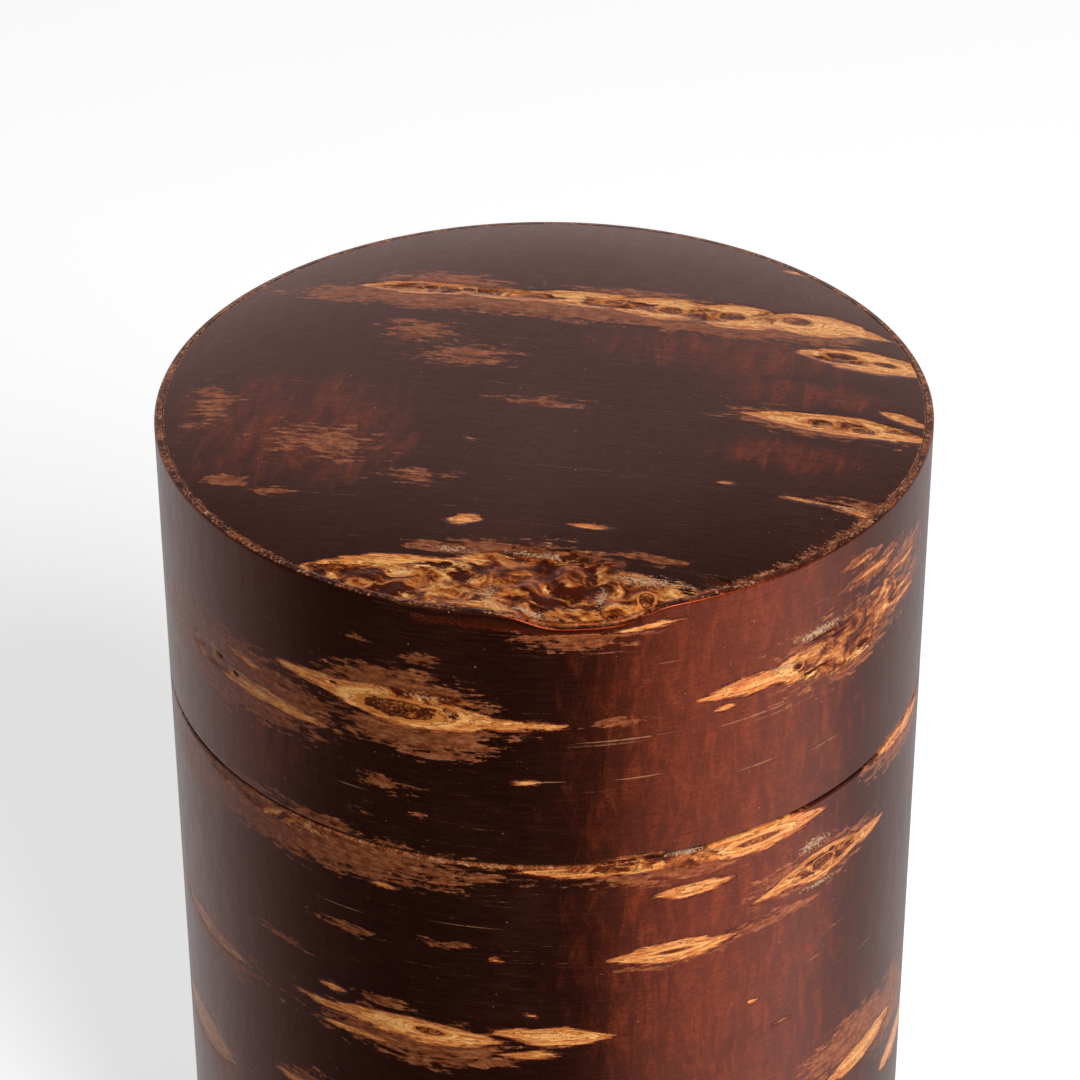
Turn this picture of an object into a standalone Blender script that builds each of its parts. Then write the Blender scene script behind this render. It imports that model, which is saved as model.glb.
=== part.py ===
"""Round tea caddy with a lift-off lid and an inner lid, faced with cherry bark.

One tube is wound from thin veneer, faced outside and lined inside with bark, and then cut
in two: the lower piece is the body and the upper piece is the side of the lid. A thinner
sleeve of the same make stands inside the body and rises above its rim as the neck that the
lid slides down over. The inner lid drops into the neck and rests on the sleeve's lining,
which stops short of the neck's rim. It sits as high in the neck as its knob has headroom under
the lid.

Metres, +Z up. The origin is the centre of the base.
"""

import math

import bmesh
import bpy
from mathutils import Vector

# Overall sizes.
OUTER_RADIUS = 0.0400
BODY_HEIGHT = 0.0840
LID_SIDE_HEIGHT = 0.0293
NECK_HEIGHT = 0.0154
CROWN_RISE = 0.0015

# Layers of the lid's and the body's wall, from the outside in.
SIDE_BARK_THICKNESS = 0.0008
WALL_CORE_THICKNESS = 0.0016
WALL_LINING_THICKNESS = 0.0005

# Layers of the inner sleeve, from the outside in.
NECK_BARK_THICKNESS = 0.0005
SLEEVE_CORE_THICKNESS = 0.0012
SLEEVE_LINING_THICKNESS = 0.0006

# Base and top of the caddy.
BOTTOM_BARK_THICKNESS = 0.0008
BOTTOM_BOARD_THICKNESS = 0.0040
FLOOR_BARK_THICKNESS = 0.0005
TOP_BARK_THICKNESS = 0.0008
TOP_BOARD_THICKNESS = 0.0030
TOP_LINING_THICKNESS = 0.0005

# Inner lid and its knob.
RIM_BARK_THICKNESS = 0.0005
UNDER_BARK_THICKNESS = 0.0005
INNER_BOARD_THICKNESS = 0.0026
INNER_TOP_BARK_THICKNESS = 0.0006
KNOB_HEIGHT = 0.0070
KNOB_FOOT_RADIUS = 0.0040
KNOB_WAIST_RADIUS = 0.0031
KNOB_HEAD_RADIUS = 0.0056
KNOB_HEAD_THICKNESS = 0.0030
TENON_RADIUS = 0.0020
TENON_DEPTH = 0.0020

# Clearances.
GLUE_LINE = 0.0003
SLIDING_CLEARANCE = 0.0003
REST_GAP = 0.0003
KNOB_HEADROOM = 0.0020
BASE_REVEAL = 0.0004

# Rounded edges.
SHOULDER_ROUNDING = 0.0007
MEETING_EDGE_ROUNDING = 0.0003
BASE_ROUNDING = 0.0007
TOP_BARK_ROUNDING = 0.0004
NECK_ROUNDING = 0.0004
INNER_LID_ROUNDING = 0.0002
KNOB_ROUNDING = 0.0011

# Fineness of the turned shapes.
SEGMENTS = 64
ARC_STEPS = 3
CROWN_STEPS = 5
CROWN_POWER = 4
SHARP_ANGLE = math.radians(35)
AXIS_TOLERANCE = 0.00001

# Radii that follow from the layers.
WALL_CORE_RADIUS = OUTER_RADIUS - SIDE_BARK_THICKNESS - GLUE_LINE
WALL_LINING_RADIUS = WALL_CORE_RADIUS - WALL_CORE_THICKNESS - GLUE_LINE
LID_BORE_RADIUS = WALL_LINING_RADIUS - WALL_LINING_THICKNESS
NECK_RADIUS = LID_BORE_RADIUS - SLIDING_CLEARANCE
SLEEVE_CORE_RADIUS = NECK_RADIUS - NECK_BARK_THICKNESS - GLUE_LINE
SLEEVE_BORE_RADIUS = SLEEVE_CORE_RADIUS - SLEEVE_CORE_THICKNESS
SLEEVE_LINING_RADIUS = SLEEVE_BORE_RADIUS - GLUE_LINE
INNER_LID_RADIUS = SLEEVE_BORE_RADIUS - SLIDING_CLEARANCE
INNER_DISC_RADIUS = INNER_LID_RADIUS - RIM_BARK_THICKNESS - GLUE_LINE
TENON_HOLE_RADIUS = TENON_RADIUS + GLUE_LINE

# Heights that follow from the layers.
BOTTOM_BOARD_BASE = BOTTOM_BARK_THICKNESS + GLUE_LINE
FLOOR_HEIGHT = BOTTOM_BOARD_BASE + BOTTOM_BOARD_THICKNESS + GLUE_LINE
LID_BASE = BODY_HEIGHT + REST_GAP
LID_TOP_EDGE = LID_BASE + LID_SIDE_HEIGHT
TOP_BARK_BASE = LID_TOP_EDGE - TOP_BARK_THICKNESS
TOP_BOARD_TOP = TOP_BARK_BASE - GLUE_LINE
TOP_BOARD_BASE = TOP_BOARD_TOP - TOP_BOARD_THICKNESS
TOP_LINING_TOP = TOP_BOARD_BASE - GLUE_LINE
LID_CEILING = TOP_LINING_TOP - TOP_LINING_THICKNESS
NECK_TOP = BODY_HEIGHT + NECK_HEIGHT
INNER_BOARD_BASE = UNDER_BARK_THICKNESS + GLUE_LINE
INNER_BOARD_TOP = INNER_BOARD_BASE + INNER_BOARD_THICKNESS
INNER_TOP_BARK_BASE = INNER_BOARD_TOP + GLUE_LINE
INNER_LID_THICKNESS = INNER_TOP_BARK_BASE + INNER_TOP_BARK_THICKNESS
INNER_LID_TOP = LID_CEILING - KNOB_HEADROOM - KNOB_HEIGHT - GLUE_LINE
INNER_LID_BASE = INNER_LID_TOP - INNER_LID_THICKNESS

# Colour, roughness and metallic value of each material.
FINISHES = {
    "side_bark": ((0.075, 0.022, 0.014), 0.32, 0.0),
    "top_bark": ((0.068, 0.024, 0.016), 0.35, 0.0),
    "base_bark": ((0.060, 0.020, 0.013), 0.45, 0.0),
    "neck_bark": ((0.085, 0.028, 0.018), 0.38, 0.0),
    "lining_bark": ((0.110, 0.040, 0.022), 0.50, 0.0),
    "knob_bark": ((0.095, 0.030, 0.018), 0.35, 0.0),
    "veneer": ((0.480, 0.330, 0.190), 0.70, 0.0),
    "board": ((0.430, 0.280, 0.150), 0.65, 0.0),
}


def clear_scene():
    for old in list(bpy.data.objects):
        bpy.data.objects.remove(old, do_unlink=True)


def make_material(name, finish):
    """A Principled material of the piece's own, with the named finish."""
    colour, roughness, metallic = FINISHES[finish]
    material = bpy.data.materials.new(name)
    material.use_nodes = True
    shader = material.node_tree.nodes["Principled BSDF"]
    shader.inputs["Base Color"].default_value = (*colour, 1.0)
    shader.inputs["Roughness"].default_value = roughness
    shader.inputs["Metallic"].default_value = metallic
    return material


def make_body(name, height):
    """An empty on the axis that carries the pieces which move together."""
    empty = bpy.data.objects.new(name, None)
    empty.location.z = height
    bpy.context.scene.collection.objects.link(empty)
    return empty


def round_corners(corners):
    """Replace each corner (radius, height, rounding) by an arc tangent to its two sides."""
    points = []
    for index, (radius, height, rounding) in enumerate(corners):
        corner = Vector((radius, height))
        if rounding == 0.0:
            points.append(corner)
            continue
        before = (Vector(corners[index - 1][:2]) - corner).normalized()
        after = (Vector(corners[(index + 1) % len(corners)][:2]) - corner).normalized()
        half_angle = before.angle(after) / 2
        centre = corner + (before + after).normalized() * rounding / math.sin(half_angle)
        first = corner + before * rounding / math.tan(half_angle) - centre
        last = corner + after * rounding / math.tan(half_angle) - centre
        sweep = first.angle(last)
        for step in range(ARC_STEPS + 1):
            turned = sweep * step / ARC_STEPS
            spoke = first * math.sin(sweep - turned) + last * math.sin(turned)
            points.append(centre + spoke / math.sin(sweep))
    return points


def turn(name, corners, finish, body, height):
    """Turn an outline round the Z axis, and hang the piece on its body at a height.

    The outline runs down the outer side. It either starts and ends on the axis, or closes
    on itself as the section of a ring.
    """
    points = round_corners(corners)
    shape = bmesh.new()
    vertices = [shape.verts.new((point.x, 0.0, point.y)) for point in points]
    edges = [shape.edges.new(pair) for pair in zip(vertices, vertices[1:])]
    if corners[0][0] > 0.0:
        edges.append(shape.edges.new((vertices[-1], vertices[0])))
    bmesh.ops.spin(shape, geom=vertices + edges, axis=(0, 0, 1), cent=(0, 0, 0),
                   angle=math.tau, steps=SEGMENTS, use_merge=True)
    bmesh.ops.remove_doubles(shape, verts=shape.verts, dist=AXIS_TOLERANCE)
    bmesh.ops.recalc_face_normals(shape, faces=shape.faces)
    mesh = bpy.data.meshes.new(name)
    shape.to_mesh(mesh)
    shape.free()
    mesh.shade_smooth()
    mesh.set_sharp_from_angle(angle=SHARP_ANGLE)
    mesh.materials.append(make_material(name, finish))
    piece = bpy.data.objects.new(name, mesh)
    piece.parent = body
    piece.location.z = height - body.location.z
    bpy.context.scene.collection.objects.link(piece)
    return piece


def ring(outer, thickness, height, rounded_top=0.0, rounded_base=0.0):
    """The section of a tube that stands on its own base, with its outer edges rounded."""
    inner = outer - thickness
    return [
        (outer, height, rounded_top),
        (outer, 0.0, rounded_base),
        (inner, 0.0, 0.0),
        (inner, height, 0.0),
    ]


def disc(radius, thickness, rounded_top=0.0, rounded_base=0.0):
    """The half section of a flat round plate."""
    return [
        (0.0, thickness, 0.0),
        (radius, thickness, rounded_top),
        (radius, 0.0, rounded_base),
        (0.0, 0.0, 0.0),
    ]


def crown_height(radius, edge_height):
    """The dome's height above a plane, where its edge at the outer radius is at edge_height."""
    return edge_height + CROWN_RISE * (1.0 - (radius / OUTER_RADIUS) ** CROWN_POWER)


def crown(radius, edge_height):
    """Corners of the gentle dome, from the axis out to just short of the given radius."""
    corners = []
    for step in range(CROWN_STEPS):
        reach = math.sin(math.pi / 2 * step / CROWN_STEPS) * radius
        corners.append((reach, crown_height(reach, edge_height), 0.0))
    return corners


def make_container():
    """The body with the inner sleeve that stands in it."""
    body = make_body("container", 0.0)

    side_height = BODY_HEIGHT - BASE_REVEAL
    side = ring(OUTER_RADIUS, SIDE_BARK_THICKNESS, side_height, MEETING_EDGE_ROUNDING, BASE_ROUNDING)
    turn("body_side_bark", side, "side_bark", body, BASE_REVEAL)
    core = ring(WALL_CORE_RADIUS, WALL_CORE_THICKNESS, BODY_HEIGHT - BOTTOM_BOARD_BASE)
    turn("body_veneer_core", core, "veneer", body, BOTTOM_BOARD_BASE)
    lining = ring(WALL_LINING_RADIUS, WALL_LINING_THICKNESS, BODY_HEIGHT - FLOOR_HEIGHT)
    turn("body_side_lining", lining, "lining_bark", body, FLOOR_HEIGHT)

    turn("bottom_bark", disc(WALL_CORE_RADIUS, BOTTOM_BARK_THICKNESS), "base_bark", body, 0.0)
    board = disc(WALL_LINING_RADIUS, BOTTOM_BOARD_THICKNESS)
    turn("bottom_board", board, "board", body, BOTTOM_BOARD_BASE)
    floor_radius = SLEEVE_LINING_RADIUS - SLEEVE_LINING_THICKNESS - GLUE_LINE
    floor = disc(floor_radius, FLOOR_BARK_THICKNESS)
    turn("floor_bark", floor, "lining_bark", body, FLOOR_HEIGHT)

    sleeve_height = NECK_TOP - FLOOR_HEIGHT
    neck = ring(NECK_RADIUS, NECK_BARK_THICKNESS, sleeve_height, NECK_ROUNDING)
    turn("inner_sleeve_bark", neck, "neck_bark", body, FLOOR_HEIGHT)
    sleeve = ring(SLEEVE_CORE_RADIUS, SLEEVE_CORE_THICKNESS, sleeve_height)
    turn("inner_sleeve_core", sleeve, "veneer", body, FLOOR_HEIGHT)
    ledge_height = INNER_LID_BASE - REST_GAP - FLOOR_HEIGHT
    lining = ring(SLEEVE_LINING_RADIUS, SLEEVE_LINING_THICKNESS, ledge_height)
    turn("inner_sleeve_lining", lining, "lining_bark", body, FLOOR_HEIGHT)


def make_lid():
    """The lift-off lid with its gently domed top."""
    body = make_body("lid", LID_BASE)

    side = ring(OUTER_RADIUS, SIDE_BARK_THICKNESS, LID_SIDE_HEIGHT, SHOULDER_ROUNDING,
                MEETING_EDGE_ROUNDING)
    turn("lid_side_bark", side, "side_bark", body, LID_BASE)
    core = ring(WALL_CORE_RADIUS, WALL_CORE_THICKNESS, TOP_BOARD_TOP - LID_BASE)
    turn("lid_veneer_core", core, "veneer", body, LID_BASE)
    lining = ring(WALL_LINING_RADIUS, WALL_LINING_THICKNESS, TOP_LINING_TOP - LID_BASE)
    turn("lid_side_lining", lining, "lining_bark", body, LID_BASE)

    bark_edge = crown_height(WALL_CORE_RADIUS, TOP_BARK_THICKNESS)
    top_bark = crown(WALL_CORE_RADIUS, TOP_BARK_THICKNESS)
    top_bark.append((WALL_CORE_RADIUS, bark_edge, TOP_BARK_ROUNDING))
    top_bark.append((WALL_CORE_RADIUS, 0.0, 0.0))
    top_bark.append((WALL_LINING_RADIUS, 0.0, 0.0))
    top_bark.extend(reversed(crown(WALL_LINING_RADIUS, 0.0)))
    turn("lid_top_bark", top_bark, "top_bark", body, TOP_BARK_BASE)

    board = crown(WALL_LINING_RADIUS, TOP_BOARD_THICKNESS)
    board.append((WALL_LINING_RADIUS, TOP_BOARD_THICKNESS, 0.0))
    board.append((WALL_LINING_RADIUS, 0.0, 0.0))
    board.append((0.0, 0.0, 0.0))
    turn("lid_top_board", board, "board", body, TOP_BOARD_BASE)
    top_lining = disc(LID_BORE_RADIUS - GLUE_LINE, TOP_LINING_THICKNESS)
    turn("lid_top_lining", top_lining, "lining_bark", body, LID_CEILING)


def make_inner_lid():
    """The disc that drops into the neck, with the knob that lifts it."""
    body = make_body("inner_lid", INNER_LID_BASE)

    rim = ring(INNER_LID_RADIUS, RIM_BARK_THICKNESS, INNER_LID_THICKNESS,
               INNER_LID_ROUNDING, INNER_LID_ROUNDING)
    turn("inner_lid_rim_bark", rim, "neck_bark", body, INNER_LID_BASE)
    under = disc(INNER_DISC_RADIUS, UNDER_BARK_THICKNESS)
    turn("inner_lid_under_bark", under, "lining_bark", body, INNER_LID_BASE)

    socket_floor = INNER_BOARD_THICKNESS - TENON_DEPTH
    board = [
        (0.0, socket_floor, 0.0),
        (TENON_HOLE_RADIUS, socket_floor, 0.0),
        (TENON_HOLE_RADIUS, INNER_BOARD_THICKNESS, 0.0),
        (INNER_DISC_RADIUS, INNER_BOARD_THICKNESS, 0.0),
        (INNER_DISC_RADIUS, 0.0, 0.0),
        (0.0, 0.0, 0.0),
    ]
    turn("inner_lid_board", board, "board", body, INNER_LID_BASE + INNER_BOARD_BASE)
    top_width = INNER_DISC_RADIUS - TENON_HOLE_RADIUS
    top = ring(INNER_DISC_RADIUS, top_width, INNER_TOP_BARK_THICKNESS)
    turn("inner_lid_top_bark", top, "top_bark", body, INNER_LID_BASE + INNER_TOP_BARK_BASE)

    foot = TENON_DEPTH + INNER_TOP_BARK_THICKNESS + GLUE_LINE
    top_of_knob = foot + KNOB_HEIGHT
    head_base = top_of_knob - KNOB_HEAD_THICKNESS
    knob = [
        (0.0, top_of_knob, 0.0),
        (KNOB_HEAD_RADIUS, top_of_knob, KNOB_ROUNDING),
        (KNOB_HEAD_RADIUS, head_base, KNOB_ROUNDING),
        (KNOB_WAIST_RADIUS, head_base, 0.0),
        (KNOB_WAIST_RADIUS, foot + KNOB_ROUNDING, 0.0),
        (KNOB_FOOT_RADIUS, foot, 0.0),
        (TENON_RADIUS, foot, 0.0),
        (TENON_RADIUS, 0.0, 0.0),
        (0.0, 0.0, 0.0),
    ]
    tenon_base = INNER_LID_BASE + INNER_BOARD_BASE + socket_floor + GLUE_LINE
    turn("inner_lid_knob", knob, "knob_bark", body, tenon_base)


clear_scene()
make_container()
make_lid()
make_inner_lid()
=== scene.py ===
import math

import bpy
import numpy as np
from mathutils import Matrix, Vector


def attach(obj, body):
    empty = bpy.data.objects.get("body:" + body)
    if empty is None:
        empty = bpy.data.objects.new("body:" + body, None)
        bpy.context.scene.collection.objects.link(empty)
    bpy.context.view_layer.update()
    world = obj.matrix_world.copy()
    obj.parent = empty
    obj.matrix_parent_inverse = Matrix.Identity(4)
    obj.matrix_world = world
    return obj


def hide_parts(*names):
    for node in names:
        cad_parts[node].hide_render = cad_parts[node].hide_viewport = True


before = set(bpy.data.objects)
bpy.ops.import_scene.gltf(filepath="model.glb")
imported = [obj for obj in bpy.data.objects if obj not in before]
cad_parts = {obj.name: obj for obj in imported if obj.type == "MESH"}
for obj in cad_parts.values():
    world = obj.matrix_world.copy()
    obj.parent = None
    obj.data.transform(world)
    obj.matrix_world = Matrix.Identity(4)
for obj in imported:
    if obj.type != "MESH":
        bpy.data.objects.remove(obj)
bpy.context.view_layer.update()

MM = 0.001
SAME_POINT = 1e-4

# ------------------------------------------------------------
# The wound tubes. Strips of pale veneer are glued turn over turn on a mould, which makes
# the wall of the body, the wall of the lid and the thinner sleeve that stands in the body.
# Only their cut rims ever show, with the turns of the winding as thin rings.


def section_of(node):
    """Inner and outer radius, base and top of a turned CAD node, in millimetres."""
    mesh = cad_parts[node].data
    points = np.empty(len(mesh.vertices) * 3)
    mesh.vertices.foreach_get("co", points)
    points = points.reshape(-1, 3) / MM
    radii = np.hypot(points[:, 0], points[:, 1])
    return radii.min(), radii.max(), points[:, 2].min(), points[:, 2].max()


def quarter_round(radius, height, rounding, start, steps=6):
    """Quarter circle, as radii and heights, that turns clockwise from a start angle in degrees."""
    angles = np.radians(start - np.linspace(0, 90, steps))
    return radius + rounding * np.cos(angles), height + rounding * np.sin(angles)


def ring_outline(inner, outer, base, top, rounding, rows):
    """Closed outline of a ring's section: down the outer side in so many rows, and back up."""
    return join_outline(
        quarter_round(outer - rounding, top - rounding, rounding, 90),
        (np.full(rows, outer), np.linspace(top - rounding, base + rounding, rows)),
        quarter_round(outer - rounding, base + rounding, rounding, 0),
        quarter_round(inner + rounding, base + rounding, rounding, -90),
        quarter_round(inner + rounding, top - rounding, rounding, 180))


def disc_outline(outer, base, top, rounding, rows):
    """Open outline of a plate's section: from the axis over the top and edge, and back under."""
    return join_outline(
        (np.linspace(0, outer - rounding, rows), np.full(rows, top)),
        quarter_round(outer - rounding, top - rounding, rounding, 90),
        quarter_round(outer - rounding, base + rounding, rounding, 0),
        ([0.0], [base]))


def join_outline(*stretches):
    """One outline from stretches of radii and heights, without points that repeat."""
    radii, heights = (np.concatenate(values) for values in zip(*stretches))
    step = np.hypot(np.diff(radii), np.diff(heights))
    keep = np.concatenate([[True], step > SAME_POINT])
    return radii[keep], heights[keep]


def turned_surface(name, radii, heights, segments, lift=(0, 0), marks=None):
    """A mesh object from an outline carried round the Z axis.

    Row i, column j of the grid lies at radii[i] and heights[i], at an angle of j turns over
    segments, counted to the right from the front. A lift of (outward, upward) arrays on the
    same grid moves the points, and each named field of marks becomes an attribute of them.
    An outline that starts on the axis ends there too, and both rows shrink to a pole with
    triangles round it. Any other outline closes on itself.
    """
    rows = len(radii)
    angles = np.arange(segments) * (2 * np.pi / segments)
    radius = np.repeat(radii[:, None], segments, axis=1) + lift[0]
    height = np.repeat(heights[:, None], segments, axis=1) + lift[1]
    points = np.stack([radius * np.sin(angles), -radius * np.cos(angles), height], axis=-1)
    index = np.arange(rows * segments).reshape(rows, segments)
    capped = radii[0] < SAME_POINT
    if capped:
        index[[0, -1]] = index[[0, -1], :1]
    following = np.roll(index, -1, axis=1)
    upper = np.arange(1, rows - 2) if capped else np.arange(rows)
    lower = (upper + 1) % rows
    quads = np.stack([index[upper], index[lower], following[lower], following[upper]], axis=-1)
    used = np.unique(index)
    faces = np.searchsorted(used, quads.reshape(-1, 4)).tolist()
    if capped:
        over = np.stack([index[0], index[1], following[1]], axis=-1)
        under = np.stack([index[-2], index[-1], following[-2]], axis=-1)
        faces += np.searchsorted(used, np.concatenate([over, under])).tolist()
    mesh = bpy.data.meshes.new(name)
    mesh.from_pydata(points.reshape(-1, 3)[used] * MM, [], faces)
    mesh.shade_smooth()
    for kind, field in (marks or {}).items():
        attribute = mesh.attributes.new(kind, "FLOAT", "POINT")
        attribute.data.foreach_set("value", field.reshape(-1)[used].astype(np.float32))
    piece = bpy.data.objects.new(name, mesh)
    bpy.context.scene.collection.objects.link(piece)
    return piece


def settle(piece, material, body, slot, *nodes):
    """Gives a piece its material and hangs it on its body, in place of its CAD nodes."""
    piece.data.materials.append(material)
    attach(piece, body)
    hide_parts(*nodes)


class Bench:
    """Places nodes in one tree. A value given to it is a socket, a number or a colour."""

    def __init__(self, tree):
        self.tree = tree

    def node(self, kind, **settings):
        made = self.tree.nodes.new(kind)
        for setting, value in settings.items():
            setattr(made, setting, value)
        return made

    def feed(self, socket, value):
        if isinstance(value, bpy.types.NodeSocket):
            self.tree.links.new(value, socket)
        elif isinstance(value, tuple) and socket.type == "RGBA":
            socket.default_value = (*value, 1.0)
        else:
            socket.default_value = value

    def place(self):
        """The point's own place on the object, in millimetres."""
        return self.stretch(self.node("ShaderNodeTexCoord").outputs["Object"], (1 / MM, 1 / MM, 1 / MM))

    def split(self, vector):
        made = self.node("ShaderNodeSeparateXYZ")
        self.feed(made.inputs[0], vector)
        return made.outputs

    def use(self, group, **values):
        """The outputs of a shared node group, with its inputs fed by name."""
        made = self.node("ShaderNodeGroup", node_tree=group)
        for socket, value in values.items():
            self.feed(made.inputs[socket], value)
        return made.outputs

    def finish(self, shader, colour, roughness, depth, height):
        """Colour, roughness, and a relief so many mm deep where the height runs from 0 to 1."""
        self.feed(shader.inputs["Base Color"], colour)
        self.feed(shader.inputs["Roughness"], roughness)
        made = self.node("ShaderNodeBump")
        made.inputs["Distance"].default_value = depth * MM
        self.feed(made.inputs["Height"], height)
        self.feed(shader.inputs["Normal"], made.outputs[0])

    def math(self, operation, first, second=0.0, third=0.0):
        made = self.node("ShaderNodeMath", operation=operation)
        for socket, value in zip(made.inputs, (first, second, third)):
            self.feed(socket, value)
        return made.outputs[0]

    def stretch(self, vector, scale, turn=(0.0, 0.0, 0.0), shift=(0.0, 0.0, 0.0)):
        made = self.node("ShaderNodeMapping")
        self.feed(made.inputs["Vector"], vector)
        self.feed(made.inputs["Location"], shift)
        self.feed(made.inputs["Rotation"], turn)
        self.feed(made.inputs["Scale"], scale)
        return made.outputs[0]

    def times(self, first, second):
        return self.math("MULTIPLY", first, second)

    def noise(self, vector, detail=3.0, roughness=0.5, warp=0.0):
        made = self.node("ShaderNodeTexNoise")
        self.feed(made.inputs["Vector"], vector)
        self.feed(made.inputs["Scale"], 1.0)
        self.feed(made.inputs["Detail"], detail)
        self.feed(made.inputs["Roughness"], roughness)
        self.feed(made.inputs["Distortion"], warp)
        return made.outputs["Fac"]

    def sway(self, vector, noise, scale):
        """A stretched place, pushed about by a noise so that straight figures wander."""
        push = (1.6, -1.2, 1.4)
        made = self.node("ShaderNodeVectorMath", operation="MULTIPLY_ADD")
        self.feed(made.inputs[0], noise)
        self.feed(made.inputs[1], push)
        self.feed(made.inputs[2], self.stretch(vector, scale))
        return made.outputs[0]

    def ease(self, value, low, high):
        """Smooth step: 0 at low, 1 at high."""
        made = self.node("ShaderNodeMapRange", interpolation_type="SMOOTHSTEP")
        self.feed(made.inputs["Value"], value)
        self.feed(made.inputs["From Min"], low)
        self.feed(made.inputs["From Max"], high)
        return made.outputs["Result"]

    def mix(self, factor, first, second):
        made = self.node("ShaderNodeMix", data_type="RGBA")
        self.feed(made.inputs["Factor"], factor)
        self.feed(made.inputs[6], first)
        self.feed(made.inputs[7], second)
        return made.outputs[2]

    def ramp(self, value, *stops):
        """A colour that runs through the (place, colour) stops as the value goes from 0 to 1."""
        made = self.node("ShaderNodeValToRGB")
        points = made.color_ramp.elements
        for index, (place, colour) in enumerate(stops):
            point = points[index] if index < 2 else points.new(place)
            point.position = place
            point.color = (*colour, 1.0)
        self.feed(made.inputs["Fac"], value)
        return made.outputs["Color"]

    def sum(self, *parts):
        """The sum of values, each given alone or as a (value, weight) pair."""
        total = 0.0
        for part in parts:
            value, weight = part if isinstance(part, tuple) else (part, 1.0)
            total = self.math("MULTIPLY_ADD", value, weight, total)
        return total

    def blend(self, factor, first, second):
        made = self.node("ShaderNodeMix", data_type="FLOAT")
        self.feed(made.inputs["Factor"], factor)
        self.feed(made.inputs[2], first)
        self.feed(made.inputs[3], second)
        return made.outputs[0]


def new_group(name, inputs, outputs):
    """An empty node group with named sockets, and a bench to fill it on."""
    group = bpy.data.node_groups.new(name, "ShaderNodeTree")
    for socket, kind in inputs.items():
        group.interface.new_socket(socket, in_out="INPUT", socket_type="NodeSocket" + kind)
    for socket, kind in outputs.items():
        group.interface.new_socket(socket, in_out="OUTPUT", socket_type="NodeSocket" + kind)
    bench = Bench(group)
    return group, bench, bench.node("NodeGroupInput").outputs, bench.node("NodeGroupOutput").inputs


def new_material(name):
    material = bpy.data.materials.new(name)
    material.use_nodes = True
    return material, Bench(material.node_tree), material.node_tree.nodes["Principled BSDF"]


def wood_grain_group():
    """Straight grain along X, in mm: pores drawn out 30 to 1, over slow bands of tone."""
    group, bench, given, result = new_group(
        "straight_wood_grain",
        {"Place": "Vector", "Light": "Color", "Dark": "Color"},
        {"Color": "Color", "Roughness": "Float", "Height": "Float"})
    pores = bench.noise(bench.stretch(given["Place"], (0.12, 4.0, 4.0)), detail=4.0)
    bands = bench.noise(bench.stretch(given["Place"], (0.02, 0.5, 0.5)), detail=2.0, warp=0.6)
    tone = bench.math("ADD", bench.times(pores, 0.5), bench.times(bands, 0.6))
    colour = bench.mix(bench.ease(tone, 0.35, 0.75), given["Light"], given["Dark"])
    bench.feed(result["Color"], colour)
    bench.feed(result["Roughness"], bench.blend(pores, 0.55, 0.8))
    bench.feed(result["Height"], pores)
    return group


WOOD_GRAIN = wood_grain_group()
VENEER_TURN = 0.4
VENEER_PALE = (0.62, 0.44, 0.26)
VENEER_DEEP = (0.42, 0.26, 0.13)
GLUE_BROWN = (0.2, 0.1, 0.05)


def veneer_material():
    """Pale veneer whose turns show as rings, one turn apart, with a dark glue line between."""
    material, bench, shader = new_material("wound_veneer")
    place = bench.place()
    upright = bench.stretch(place, (1, 1, 1), turn=(0, math.pi / 2, 0))
    grain = bench.use(WOOD_GRAIN, Place=upright, Light=VENEER_PALE, Dark=VENEER_DEEP)
    split = bench.split(place)
    squares = [bench.times(split[axis], split[axis]) for axis in ("X", "Y")]
    radius = bench.math("SQRT", bench.math("ADD", *squares))
    drift = bench.times(bench.noise(bench.stretch(place, (0.3, 0.3, 0.3))), 0.25)
    turns = bench.math("FRACT", bench.math("DIVIDE", bench.math("ADD", radius, drift), VENEER_TURN))
    glue = bench.ease(bench.math("ABSOLUTE", bench.math("SUBTRACT", turns, 0.5)), 0.36, 0.47)
    colour = bench.mix(glue, grain["Color"], GLUE_BROWN)
    bench.finish(shader, colour, grain["Roughness"], 0.03, bench.math("SUBTRACT", grain["Height"], glue))
    return material


WOUND_VENEER = veneer_material()
VENEER_EDGE = 0.08
VENEER_ROWS = 6
SMOOTH_TURN = 256

for node, body in (("body_veneer_core", "container"), ("inner_sleeve_core", "container"),
                   ("lid_veneer_core", "lid")):
    outline = ring_outline(*section_of(node), VENEER_EDGE, VENEER_ROWS)
    tube = turned_surface("wound_" + node, *outline, SMOOTH_TURN)
    settle(tube, WOUND_VENEER, body, "veneer", node)


# ------------------------------------------------------------
# The boards. Plain discs of pale wood let into the ends of the tubes and into the inner
# lid. Bark covers both faces, so the CAD shapes stay as they are and take a wood finish.

BOARD_PALE = (0.56, 0.38, 0.2)
BOARD_DEEP = (0.36, 0.21, 0.1)


def board_material():
    material, bench, shader = new_material("plain_board")
    grain = bench.use(WOOD_GRAIN, Place=bench.place(), Light=BOARD_PALE, Dark=BOARD_DEEP)
    bench.finish(shader, grain["Color"], grain["Roughness"], 0.05, grain["Height"])
    return material


PLAIN_BOARD = board_material()
for node in ("bottom_board", "lid_top_board", "inner_lid_board"):
    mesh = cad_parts[node].data
    mesh.materials.clear()
    mesh.materials.append(PLAIN_BOARD)


# ------------------------------------------------------------
# The polished side bark. One sheet of cherry bark is wrapped round the tube, rubbed to a
# gloss and only then cut at the seam, so its marks run on from the body into the lid. Places
# are in mm: along the bark to the right from the front, and height above the base.

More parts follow.
